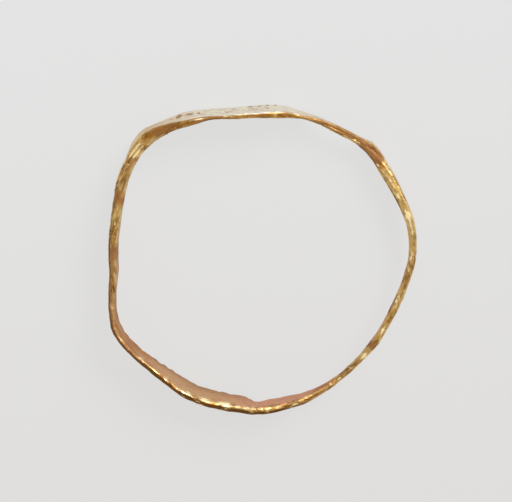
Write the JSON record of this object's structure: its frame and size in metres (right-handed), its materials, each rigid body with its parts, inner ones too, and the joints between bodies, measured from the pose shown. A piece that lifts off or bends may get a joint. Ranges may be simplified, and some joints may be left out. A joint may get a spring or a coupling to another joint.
{
  "type": "finger ring",
  "caption": "Thin hammered gold finger ring with a flattened, engraved bezel, lapped shoulders and a butt seam at its base, worn on a finger.",
  "frame": {"origin": "under the middle of the ring's footprint, on the plane that it rests on when it lies flat", "axes": "+Z along the bore, from the back edge that the ring rests on to the front edge; +Y out of the bezel's flat face; +X towards the narrow half of the hoop, to the right when the bezel is at the top and the front edge faces the viewer"},
  "size_m": [0.0208, 0.0206, 0.0031],
  "materials": {
    "bezel_gold": "hammered yellow gold, satin to bright, with reddish soil in the engraving",
    "hoop_gold": "hammered yellow gold, bright on its outer edges, matt and pinkish inside",
    "solder_gold": "rough red-brown gold solder with dark pits"
  },
  "bodies": {
    "root": {"bezel_band": "bezel_gold", "left_hoop": "hoop_gold", "right_hoop": "hoop_gold", "left_shoulder_solder": "solder_gold", "right_shoulder_solder": "solder_gold", "base_seam_solder": "solder_gold"}
  },
  "joints": []
}
